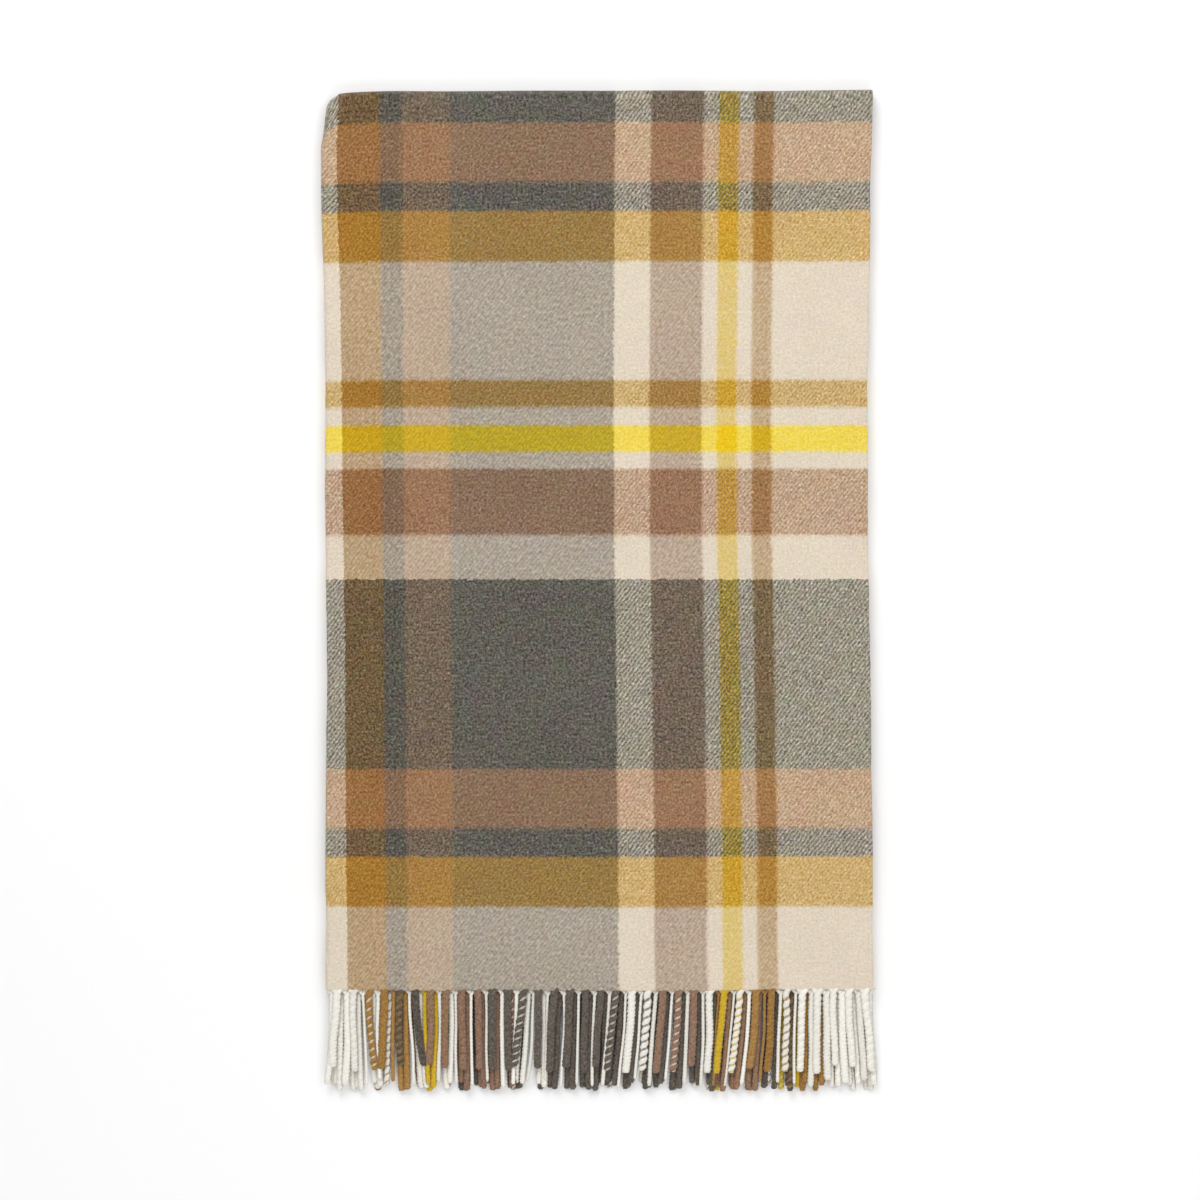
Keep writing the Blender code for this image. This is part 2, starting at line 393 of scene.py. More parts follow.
class ThrowWeftYarns(bpy.types.PropertyGroup):
    """Colours of the yarns that run across the throw."""

    ecru: yarn_property("Ecru", "weft", (0.839, 0.787, 0.715))
    camel: yarn_property("Camel", "weft", (0.679, 0.509, 0.203))
    yellow: yarn_property("Yellow", "weft", (0.927, 0.791, 0.000))
    taupe: yarn_property("Taupe", "weft", (0.593, 0.440, 0.323))
    charcoal: yarn_property("Charcoal", "weft", (0.343, 0.339, 0.303))
    tan: yarn_property("Tan", "weft", (0.617, 0.456, 0.322))
    slate: yarn_property("Slate", "weft", (0.331, 0.323, 0.294))
    ochre: yarn_property("Ochre", "weft", (0.701, 0.521, 0.193))


class ThrowFringeYarns(bpy.types.PropertyGroup):
    """Colours of the loose wool of the fringe: a little brighter than the woven warp, as loose wool
    looks, and lightened in part as painted light against the shade that falls between the tassels.
    """

    # Ecru most of all: part of its lightness is painted light that offsets the shade in the gaps between
    # the tassels
    ecru: yarn_property("Ecru", "fringe", (0.905, 0.890, 0.850))
    camel: yarn_property("Camel", "fringe", (0.640, 0.480, 0.260))
    yellow: yarn_property("Yellow", "fringe", (0.790, 0.650, 0.150))
    taupe: yarn_property("Taupe", "fringe", (0.530, 0.410, 0.335))
    charcoal: yarn_property("Charcoal", "fringe", (0.360, 0.328, 0.290))
    tan: yarn_property("Tan", "fringe", (0.545, 0.420, 0.315))
    slate: yarn_property("Slate", "fringe", (0.330, 0.298, 0.262))
    ochre: yarn_property("Ochre", "fringe", (0.590, 0.435, 0.210))


class ThrowCloth(bpy.types.PropertyGroup):
    """How the cloth is woven and how it lies."""

    ends: bpy.props.FloatProperty(
        name="Ends", description="Warp yarns in a metre of width", default=1018.0, min=100.0
    )
    picks: bpy.props.FloatProperty(
        name="Picks", description="Weft yarns in a metre of length", default=781.0, min=100.0
    )
    mesh_step: length_property("Mesh step", "Longest side of a face of the cloth's mesh", 0.0088)
    twill: share_property("Twill", "How clearly the brushed nap leaves the twill lines to be seen", 0.34)
    nap: share_property("Nap", "How far the nap drags one yarn's fibres over the other", 0.92)
    heather: share_property("Heather", "How mixed the fibres of the darkest yarn are", 0.47)
    ripple: length_property("Ripple", "How far the top of the stack rises and falls", 0.0011)
    corner: length_property("Corner radius", "Radius of the corner where the two folds meet", 0.017)


class ThrowFringe(bpy.types.PropertyGroup):
    """How the tassels are twisted and how they lie."""

    width: length_property("Width", "Width of a tassel of the front row", 0.0076)
    between_width: length_property("Width between", "Width of a strand that fills a gap", 0.0038)
    under_width: length_property("Width underneath", "Width of a tassel of the other rows", 0.0068)
    flatness: share_property("Flatness", "Thickness of a tassel as a share of its width", 0.50)
    twist: length_property("Twist", "Length of one full turn of the twist", 0.0068)
    gather: length_property("Gather", "Length in which the warp ends gather to a tassel", 0.0085)
    length: length_property("Length", "Length of the tassels of the front row", 0.0745)
    under_length: length_property("Length underneath", "Length of the other tassels", 0.0900)


class ThrowStage(bpy.types.PropertyGroup):
    """The floor, the light and the camera."""

    floor_size: length_property("Floor size", "Width and depth of the floor", 40.0)
    lens: bpy.props.FloatProperty(
        name="Lens", description="Focal length of the camera's lens", default=0.085, unit="CAMERA"
    )
    view_width: length_property("View width", "Width that the camera sees at the top face", 1.0968)
    view_x: bpy.props.FloatProperty(
        name="View X", description="Middle of the view, across", default=0.0014, unit="LENGTH"
    )
    view_y: bpy.props.FloatProperty(
        name="View Y", description="Middle of the view, along", default=-0.0087, unit="LENGTH"
    )


SETTINGS = (
    ("throw_warp", ThrowWarpYarns),
    ("throw_weft", ThrowWeftYarns),
    ("throw_fringe_yarns", ThrowFringeYarns),
    ("throw_cloth", ThrowCloth),
    ("throw_fringe", ThrowFringe),
    ("throw_stage", ThrowStage),
)


# Shape of the cloth


def wander(place, drifts):
    """A smooth, repeatable drift: the sum of a few, each with its seed, its length and its reach."""
    return sum(
        noise.noise(Vector((place / length, seed * SEED_STEP, 0.5))) * reach
        for seed, length, reach in drifts
    )


def through(points, place):
    """Smooth curve through a few (place, value) points, level beyond the first and the last."""
    if place <= points[0][0]:
        return points[0][1]
    for (start, low), (end, high) in zip(points, points[1:]):
        if place < end:
            return low + (high - low) * smooth((place - start) / (end - start))
    return points[-1][1]


def smooth(share):
    """From 0 to 1 with a level start and a level end."""
    return share * share * (3 - 2 * share)


def nearness(distance, reach):
    """1 at a place and before it, falling evenly to 0 at the reach."""
    return min(1.0, max(0.0, 1 - distance / reach))


def folded_edge(t):
    """Where the left fold really lies, beside its ruled line: it bows out below the corner."""
    return through(FOLDED_EDGE_BOW, abs(t)) + wander(t, FOLDED_EDGE_DRIFTS)


def open_edge(t):
    """Where the selvedge on top really lies: it draws in a little along its middle."""
    return through(OPEN_EDGE_BOW, abs(t)) + wander(t, OPEN_EDGE_DRIFTS)


def across_stack(s, n, t):
    """Place across the letter fold and height above the middle of the stack, n out of the cloth."""
    left = LEFT_X + folded_edge(t)
    right = RIGHT_X + wander(t, INNER_EDGE_DRIFTS)
    if s <= LEFT_FOLD_START:
        start = SELVEDGE_X + open_edge(t)
        share = s / LEFT_FOLD_START
        bow = (left - LEFT_X) * share ** BOW_POWER
        return start + (LEFT_X - start) * share + bow, OUTER_PANEL + n
    if s <= LEFT_FOLD_END:
        turn = (s - LEFT_FOLD_START) / LEFT_RADIUS
        radius = LEFT_RADIUS + n
        return left - radius * math.sin(turn), INNER_FLAP + radius * math.cos(turn)
    if s <= RIGHT_FOLD_START:
        share = (s - LEFT_FOLD_END) / (RIGHT_FOLD_START - LEFT_FOLD_END)
        return left + (right - left) * share, MIDDLE_PANEL - n
    if s <= RIGHT_FOLD_END:
        turn = (s - RIGHT_FOLD_START) / RIGHT_RADIUS
        radius = RIGHT_RADIUS + n
        middle = (MIDDLE_PANEL + INNER_FLAP) / 2
        return right + radius * math.sin(turn), middle - radius * math.cos(turn)
    share = (s - RIGHT_FOLD_END) / (CLOTH_WIDTH - RIGHT_FOLD_END)
    return right + (FLAP_END_X - right) * share, INNER_FLAP + n


def over_halving_fold(height, t):
    """Place along the stack and height over its middle, for cloth t from the crest of the fold."""
    side = math.copysign(1, t)
    height += HALF_GAP
    if abs(t) < ARC_CLOTH:
        turn = t / ARC_CLOTH * math.pi / 2
        return ARC_CENTRE_Y + height * math.cos(turn), height * math.sin(turn)
    return ARC_CENTRE_Y - (abs(t) - ARC_CLOTH), height * side


def corner_drop(x, radius):
    """How far the rounded corner lies below the halving fold."""
    beyond = FOLDED_X + radius - x
    if beyond <= 0:
        return 0.0
    return radius - math.sqrt(max(radius * radius - beyond * beyond, 0.0))


def shifted_along(x, y, t, corner):
    """The place along the stack with its round corner, its uneven top edge and its uneven fell."""
    below_top = ARC_CENTRE_Y - y
    y -= corner_drop(x, corner) * smooth(nearness(below_top, CORNER_FADE * corner))
    y += (TOP_RISE + wander(x, TOP_DRIFTS)) * nearness(below_top, TOP_REACH)
    y -= DROOP * nearness(x - FOLDED_X, DROOP_WIDTH) ** 2 * nearness(abs(t), DROOP_LENGTH)
    end_drifts = UPPER_FELL_DRIFTS if t >= 0 else LOWER_FELL_DRIFTS
    fell = FELL_RISE + wander(x, FELL_DRIFTS) + wander(x, end_drifts)
    return y + fell * nearness(y - FELL_Y, FELL_REACH)


def place_cloth(s, n, t, settings):
    """A point of the flat cloth, n above its middle, carried to where the folded stack holds it."""
    x, height = across_stack(s, n, t)
    y, z = over_halving_fold(height, t)
    y = shifted_along(x, y, t, settings.corner)
    swell = sum(
        noise.noise(Vector((x * across, y * along, seed))) * strength
        for across, along, seed, strength in SWELLS
    )
    ripple = settings.ripple / HALF_HEIGHT
    if z > 0:
        z *= 1 + ripple * swell
    else:
        z *= 1 - UNDERSIDE_RIPPLE * ripple * (UNDERSIDE_SINK + UNDERSIDE_SWELL * swell)
    return Vector((x, y, MID_HEIGHT + z))


def even_steps(start, end, step):
    """Even places from the start, which is left out, to the end, no further apart than the step."""
    count = max(1, math.ceil((end - start) / step))
    return [start + (end - start) * k / count for k in range(1, count + 1)]


def stations_across(step):
    """Where the cloth's mesh has its lines across: close at the selvedges and round the folds."""
    stations = [0.0, *LIP_LINES]
    stations += even_steps(LIP_WIDTH, LEFT_FOLD_START, step)
    stations += even_steps(LEFT_FOLD_START, LEFT_FOLD_END, LEFT_FOLD_STEP)
    stations += even_steps(LEFT_FOLD_END, RIGHT_FOLD_START, step)
    stations += even_steps(RIGHT_FOLD_START, RIGHT_FOLD_END, RIGHT_FOLD_STEP)
    stations += even_steps(RIGHT_FOLD_END, CLOTH_WIDTH - LIP_WIDTH, step)
    return stations + [CLOTH_WIDTH - LIP_LINES[1], CLOTH_WIDTH - LIP_LINES[0], CLOTH_WIDTH]


def stations_along(step):
    """Where the cloth's mesh has its lines along: closest at the crest of the halving fold."""
    end = CLOTH_LENGTH / 2
    half = [ARC_CLOTH * turn / 90 for turn in HINGE_TURNS]
    half += even_steps(ARC_CLOTH, end - LIP_WIDTH, step)
    half += [end - LIP_LINES[1], end - LIP_LINES[0], end]
    return [-t for t in reversed(half[1:])] + half


def edge_thinning(s, t):
    """The cloth's thickness falls off in a round lip at its four edges."""
    edge = min(s, CLOTH_WIDTH - s, CLOTH_LENGTH / 2 - abs(t)) / LIP_WIDTH
    if edge >= 1:
        return 1.0
    return LIP_THINNEST + (1 - LIP_THINNEST) * math.sqrt(max(0.0, 1 - (1 - edge) ** 2))


def build_sheet(settings):
    """The whole cloth, woven flat as a thick grid and then folded point by point."""
    across = stations_across(settings.mesh_step)
    along = stations_along(settings.mesh_step)
    columns = len(across) - 1
    rows = len(along) - 1
    bm = bmesh.new()
    bmesh.ops.create_grid(bm, x_segments=columns, y_segments=rows, size=0.5)
    bmesh.ops.solidify(bm, geom=bm.faces[:], thickness=1.0)
    deepest = min(v.co.z for v in bm.verts)
    flat = bm.loops.layers.uv.new("flat_cloth")
    for v in bm.verts:
        s = across[round((v.co.x + 0.5) * columns)]
        t = along[round((v.co.y + 0.5) * rows)]
        n = (v.co.z - deepest - 0.5) * CLOTH_THICKNESS * edge_thinning(s, t)
        for loop in v.link_loops:
            loop[flat].uv = (s, t)
        v.co = place_cloth(s, n, t, settings)
    return bm


# Shape of the fringe


def stripes_width(stripes):
    """The width of one repeat of the stripes."""
    return sum(width for _, width in stripes)


def warp_yarn(s):
    """The warp yarn at a distance across the cloth from the open selvedge."""
    s = max(s - SELVEDGE_ECRU, 0.0) % stripes_width(WARP_STRIPES)
    for yarn, width in WARP_STRIPES:
        if s < width:
            return yarn
        s -= width
    return WARP_STRIPES[0][0]


def add_ply(bm, tassel, yarn, ply, sides, rings):
    """One ply of a tassel: a grid rolled into a tube and wound round the tassel's line."""
    colour_layer = bm.verts.layers.float_color["yarn"]
    streak_layer = bm.loops.layers.uv["along_ply"]
    made = bmesh.ops.create_grid(bm, x_segments=sides, y_segments=rings, size=0.5)["verts"]
    for v in made:
        around = (v.co.x + 0.5) * 2 * math.pi
        share = v.co.y + 0.5
        for loop in v.link_loops:
            loop[streak_layer].uv = (v.co.x + 0.5 + tassel["seed"], share * tassel["length"])
        v[colour_layer] = (*yarn, 1.0)
        v.co = ply_point(tassel, share, around, ply)
    bmesh.ops.remove_doubles(bm, verts=made, dist=1e-7)
    rims = {e for v in made if v.is_valid for e in v.link_edges if e.is_boundary}
    bmesh.ops.holes_fill(bm, edges=list(rims), sides=0)


def ply_point(tassel, share, around, ply):
    """A point of a ply's skin, share of the way down the tassel and around the ply."""
    root = tassel["root"]
    down = share * tassel["length"]
    gathered = math.sin(math.pi / 2 * min(1.0, down / tassel["gather"]))
    loose = 1 - gathered

    # The ply's own size: as wide as its warp ends at the fell, and round once they are gathered
    half = tassel["width"] / 2
    radius = half * ply["bulk"]
    tip = min(1.0, TIP_WIDTH + (1 - share) * tassel["length"] / TIP_LENGTH)
    rising = min(1.0, ROOT_START + down / ROOT_RISE)
    wide = tassel["pitch"] / 4 * ROOT_WIDTH * loose + radius * gathered
    thick = CLOTH_THICKNESS * ROOT_THICKNESS * rising * loose + radius * tassel["flatness"] * gathered
    place = Vector((math.cos(around), math.sin(around), down * FUZZ_PITCH + ply["phase"]))
    fuzz = 1 + FUZZ * noise.noise(place + Vector((tassel["seed"] * FUZZ_SEEDS, 0, 0)))

    # Its orbit round the middle of the tassel, which turns slowly at first
    lag = tassel["gather"]
    turn = 2 * math.pi * (down - lag * (1 - math.exp(-down / lag))) / tassel["twist"] + ply["phase"]
    orbit = tassel["pitch"] / 4 * loose + (half - radius) * gathered
    aside = 1 + (ply["aside"] - 1) * gathered
    lift = tassel["flatness"] * ply["lift"] * gathered

    # The middle of the tassel: it leans, bows and sways, and settles towards the floor
    ease = share ** LEAN_POWER
    sway = tassel["sway"] * math.sin(share * SWAY_TURNS + tassel["seed"] * SWAY_START)
    x = root.x + tassel["lean"] * ease + tassel["bow"] * math.sin(math.pi * share) + sway
    y = root.y + FELL_RISE - down
    z = root.z * (1 - tassel["settle"] * ease)

    x += orbit * aside * math.cos(turn) + wide * fuzz * tip * math.cos(around)
    z += orbit * lift * math.sin(turn) + thick * fuzz * tip * math.sin(around)
    return Vector((x, y, max(z, FLOOR_CLEARANCE)))


def new_fringe_mesh():
    """An empty mesh with the layers that the fringe's material reads."""
    bm = bmesh.new()
    bm.verts.layers.float_color.new("yarn")
    bm.loops.layers.uv.new("along_ply")
    return bm


def add_tassel(bm, tassel, main, lesser, sides, rings_a_turn):
    """Two plies wound round each other: alike, or a full one and a thin one that is sunk into it."""
    rings = round(tassel["length"] / tassel["twist"] * rings_a_turn)
    alike = max(abs(a - b) for a, b in zip(main, lesser)) < ALIKE
    first, second = (EVEN_PLY, EVEN_PLY) if alike else (FULL_PLY, THIN_PLY)
    veiled = tuple(HAIR_VEIL * a + (1 - HAIR_VEIL) * b for a, b in zip(main, lesser))
    add_ply(bm, tassel, main, {**first, "phase": 0.0}, sides, rings)
    add_ply(bm, tassel, veiled, {**second, "phase": math.pi}, sides, rings)


def tassel_line(root, settings, draw, width, length):
    """The sizes of one tassel, with what chance adds to them."""
    return {
        "root": root,
        "pitch": TASSEL_PITCH,
        "length": length + FELL_RISE + draw.uniform(*LENGTH_SPREAD),
        "width": width * draw.uniform(*WIDTH_SPREAD),
        "flatness": settings.flatness,
        "twist": settings.twist * draw.uniform(*TWIST_SPREAD),
        "gather": settings.gather * draw.uniform(*GATHER_SPREAD),
        "lean": 0.0,
        "bow": draw.uniform(*BOW_SPREAD),
        "sway": draw.uniform(*SWAY_SPREAD),
        "settle": draw.uniform(*SETTLE_SPREAD),
        "seed": draw.random(),
    }


def shade(colour, draw):
    """A yarn's colour in one tassel, a little lighter or darker than in the next."""
    factor = 1 + draw.uniform(*SHADE_SPREAD)
    return tuple(min(1.0, c * factor) for c in colour)


def front_lean(k):
    """How far the tip of the front row's tassel k lies to the right of its root."""
    return FRONT_ROW[k][2] / MILLIMETRES


def build_front_tassel(k, settings, yarns, draw):
    """One tassel of the front row, in its own two yarns and with its own lean."""
    main, lesser, _ = FRONT_ROW[k]
    root_x = SELVEDGE_X - (k + 0.5) * TASSEL_PITCH
    height = MID_HEIGHT + HALF_GAP + OUTER_PANEL
    root = Vector((root_x, FELL_Y + draw.uniform(*FRONT_ROOTS), height))
    tassel = tassel_line(root, settings, draw, settings.width, settings.length)
    tassel["lean"] = front_lean(k) + draw.uniform(*FRONT_LEAN_SPREAD)
    bm = new_fringe_mesh()
    main_colour = shade(getattr(yarns, main), draw)
    lesser_colour = shade(getattr(yarns, lesser), draw)
    add_tassel(bm, tassel, main_colour, lesser_colour, *FRONT_MESH)
    return bm


def build_strands_between(settings, yarns, draw):
    """The row just under the front one: it has slipped into the gaps between the tassels on top."""
    bm = new_fringe_mesh()
    height = MID_HEIGHT + HALF_GAP + INNER_FLAP + BETWEEN_LIFT
    for k in range(len(FRONT_ROW)):
        beside = min(k + 1, len(FRONT_ROW) - 1)
        x = SELVEDGE_X - (k + 1) * TASSEL_PITCH + BETWEEN_ASIDE + draw.uniform(*BETWEEN_DRIFT)
        root = Vector((max(x, LEFT_X), FELL_Y + UNDER_ROOT, height))
        all_ecru = {*FRONT_ROW[k][:2], *FRONT_ROW[beside][:2]} == {"ecru"}
        width = settings.width if all_ecru else settings.between_width
        width *= draw.uniform(*BETWEEN_WIDTH_SPREAD)
        tassel = tassel_line(root, settings, draw, width, settings.under_length - BETWEEN_SHORTER)
        tassel["lean"] = (front_lean(k) + front_lean(beside)) / 2
        colour = shade(getattr(yarns, SHOWING_BETWEEN.get(k + 1, "ecru")), draw)
        add_tassel(bm, tassel, colour, colour, *BETWEEN_MESH)
    return bm


def place_in_panel(panel, x):
    """How far across the flat cloth, from its open selvedge, lies what a panel holds at x."""
    across = (x - LEFT_X) / (SELVEDGE_X - LEFT_X)
    if panel == "middle":
        return LEFT_FOLD_END + across * (RIGHT_X - LEFT_X)
    if panel == "flap":
        return RIGHT_FOLD_END + (1 - across) * (RIGHT_X - LEFT_X)
    return SELVEDGE_X - x


def build_under_row(height, side, panel, settings, yarns, draw):
    """A whole row of tassels of one panel underneath, in the warp's own colours."""
    bm = new_fringe_mesh()
    for k in range(len(FRONT_ROW)):
        x = SELVEDGE_X - (k + 0.5) * TASSEL_PITCH
        s = place_in_panel(panel, x)
        aside = UPPER_ROW_ASIDE if side > 0 else draw.uniform(*LOWER_ROW_ASIDE)
        root = Vector((x + aside, FELL_Y + UNDER_ROOT, MID_HEIGHT + side * (HALF_GAP + height)))
        tassel = tassel_line(root, settings, draw, settings.under_width, settings.under_length)
        tassel["lean"] = front_lean(k) * UNDER_LEAN + draw.uniform(*UNDER_LEAN_SPREAD)
        tassel["flatness"] = UNDER_FLATNESS
        main = shade(getattr(yarns, warp_yarn(s)), draw)
        lesser = shade(getattr(yarns, warp_yarn(s + TASSEL_PITCH / 2)), draw)
        add_tassel(bm, tassel, main, lesser, *UNDER_MESH)
    return bm


# Materials


class NodeGraph:
    """Short ways to add and join shader nodes."""

    def __init__(self, name):
        self.material = bpy.data.materials.new(name)
        self.material.use_nodes = True
        self.tree = self.material.node_tree
        self.shader = self.tree.nodes["Principled BSDF"]

    def put(self, socket, value):
        """Join a socket to another one, or give it a value."""
        if isinstance(value, bpy.types.NodeSocket):
            self.tree.links.new(value, socket)
        else:
            socket.default_value = value

    def node(self, kind, *values, output=0, **settings):
        """Add a node with values for its inputs in order, and hand on one of its outputs."""
        made = self.tree.nodes.new(kind)
        for name, value in settings.items():
            setattr(made, name, value)
        for socket, value in zip(made.inputs, values):
            if value is not None:
                self.put(socket, value)
        return made.outputs[output]

    def sum(self, operation, *values):
        """Work on numbers."""
        return self.node("ShaderNodeMath", *values, operation=operation)

    def vector(self, operation, *values, output=0):
        """Work on vectors or colours."""
        return self.node("ShaderNodeVectorMath", *values, output=output, operation=operation)

    def grain(self, place, scale, detail, roughness):
        """A noise at a place, from about -0.5 to 0.5."""
        made = self.node("ShaderNodeTexNoise", place, None, scale, detail, roughness)
        return self.sum("SUBTRACT", made, 0.5)

    def coloured_grain(self, place, scale, detail, roughness):
        """Three such noises at once, as a vector."""
        made = self.node("ShaderNodeTexNoise", place, None, scale, detail, roughness, output="Color")
        return self.vector("SUBTRACT", made, (0.5, 0.5, 0.5))

    def along(self, colour, direction):
        """How far a colour goes in a direction, such as its lightness."""
        return self.vector("DOT_PRODUCT", colour, direction, output="Value")

    def growing(self, share, strength, scale=1.0):
        """A strength's level, growing with a share from 0 to 1."""
        level, growth = strength
        return self.sum("MULTIPLY_ADD", share, growth * scale, level * scale)

    def choose(self, share, first, second):
        """The first number where the share is 1 and the second where it is 0."""
        return self.sum("MULTIPLY_ADD", self.sum("SUBTRACT", first, second), share, second)

    def mix(self, share, first, second):
        """The first colour where the share is 0 and the second where it is 1."""
        made = self.tree.nodes.new("ShaderNodeMix")
        made.data_type = "RGBA"
        self.put(made.inputs["Factor"], share)
        self.put(made.inputs["A"], first)
        self.put(made.inputs["B"], second)
        return next(o for o in made.outputs if o.name == "Result" and o.type == "RGBA")


def stripe_ramp(graph, place, stripes, yarns):
    """The yarn colour at a place from 0 to 1 along one repeat of the stripes, blurred at their edges."""
    made = graph.tree.nodes.new("ShaderNodeValToRGB")
    graph.put(made.inputs["Fac"], place)
    ramp = made.color_ramp
    total = stripes_width(stripes)
    edge = 0.0
    for index, (yarn, width) in enumerate(stripes):
        first = index == 0
        last = index == len(stripes) - 1
        start = 0.0 if first else (edge + EDGE_BLUR) / total
        edge += width
        end = 1.0 if last else (edge - EDGE_BLUR) / total
        colour = (*getattr(yarns, yarn), 1.0)
        (ramp.elements[0] if first else ramp.elements.new(start)).color = colour
        (ramp.elements[-1] if last else ramp.elements.new(end)).color = colour
    return made.outputs["Color"]


def wool_surface(graph, gamma_colour, height):
    """Dull, hairy wool: a soft sheen where the surface turns away."""
    bump = graph.node("ShaderNodeBump", BUMP_STRENGTH, BUMP_DISTANCE)
    graph.put(bump.node.inputs["Height"], height)
    graph.put(graph.shader.inputs["Base Color"], graph.node("ShaderNodeGamma", gamma_colour, GAMMA))
    graph.put(graph.shader.inputs["Normal"], bump)
    graph.shader.inputs["Roughness"].default_value = 0.95
    graph.shader.inputs["Specular IOR Level"].default_value = 0.15
    graph.shader.inputs["Sheen Weight"].default_value = 0.2
    graph.shader.inputs["Sheen Roughness"].default_value = 0.6


def wandering_place(graph, flat, grain, reach):
    """Place across and along the cloth, moved about by a grain, with the drift of the stripes."""
    moved = graph.coloured_grain(flat, *grain)
    moved = graph.vector("MULTIPLY_ADD", moved, (reach, reach, 0.0), flat)
    u = graph.node("ShaderNodeSeparateXYZ", moved, output="X")
    v = graph.node("ShaderNodeSeparateXYZ", moved, output="Y")
    drawn = graph.sum("MAXIMUM", graph.sum("SUBTRACT", u, STRIPES_DRAW_FROM), 0.0)
    drawn = graph.sum("MINIMUM", drawn, STRIPES_DRAW_WIDTH)
    drift = graph.sum("MULTIPLY_ADD", drawn, STRIPES_DRAW_IN, STRIPE_DRIFT)
    down = graph.sum("DIVIDE", graph.sum("ABSOLUTE", v), CLOTH_LENGTH / 2)
    return graph.sum("MULTIPLY_ADD", drift, down, u), v


def yarn_middle(graph, place, yarns_in_a_metre):
    """The place of the middle of the yarn that lies at a place."""
    yarn = graph.sum("FLOOR", graph.sum("MULTIPLY", place, yarns_in_a_metre))
    return graph.sum("DIVIDE", graph.sum("ADD", yarn, 0.5), yarns_in_a_metre)


def stripe_colours(graph, u, v, settings, warp, weft):
    """The colours of the warp and of the weft at a place, each the same all across its yarn."""
    end_place = graph.sum("SUBTRACT", yarn_middle(graph, u, settings.ends), SELVEDGE_ECRU)
    end_place = graph.sum("MAXIMUM", end_place, 0.0)
    end_place = graph.sum("DIVIDE", end_place, stripes_width(WARP_STRIPES))
    pick_place = graph.sum("SUBTRACT", yarn_middle(graph, v, settings.picks), WEFT_START)
    pick_place = graph.sum("DIVIDE", pick_place, stripes_width(WEFT_STRIPES))
    pick_place = graph.sum("ADD", pick_place, REPEATS_BEFORE)
    return (
        stripe_ramp(graph, graph.sum("FRACT", end_place), WARP_STRIPES, warp),
        stripe_ramp(graph, graph.sum("FRACT", pick_place), WEFT_STRIPES, weft),
    )


def yarn_streaks(graph, u, v, end, pick, warp_up):
    """Light and dark lengths of each yarn, for whichever yarn is on top."""
    end = graph.sum("MULTIPLY", end, STREAK_STEP)
    pick = graph.sum("MULTIPLY", pick, STREAK_STEP)
    along_end = graph.sum("MULTIPLY", v, STREAK_WAVES)
    along_pick = graph.sum("MULTIPLY", u, STREAK_WAVES)
    end_place = graph.node("ShaderNodeCombineXYZ", end, along_end, END_SEED)
    pick_place = graph.node("ShaderNodeCombineXYZ", along_pick, pick, PICK_SEED)
    end_tone = graph.grain(end_place, *YARN_STREAKS)
    pick_tone = graph.grain(pick_place, *YARN_STREAKS)
    return graph.choose(warp_up, end_tone, pick_tone)


def float_ridges(graph, end_line, pick_line, warp_up):
    """Every float is a small round ridge along its yarn, from 0 at its sides to 1."""
    end_round = graph.sum("SINE", graph.sum("MULTIPLY", graph.sum("FRACT", end_line), math.pi))
    pick_round = graph.sum("SINE", graph.sum("MULTIPLY", graph.sum("FRACT", pick_line), math.pi))
    return graph.choose(warp_up, end_round, pick_round)


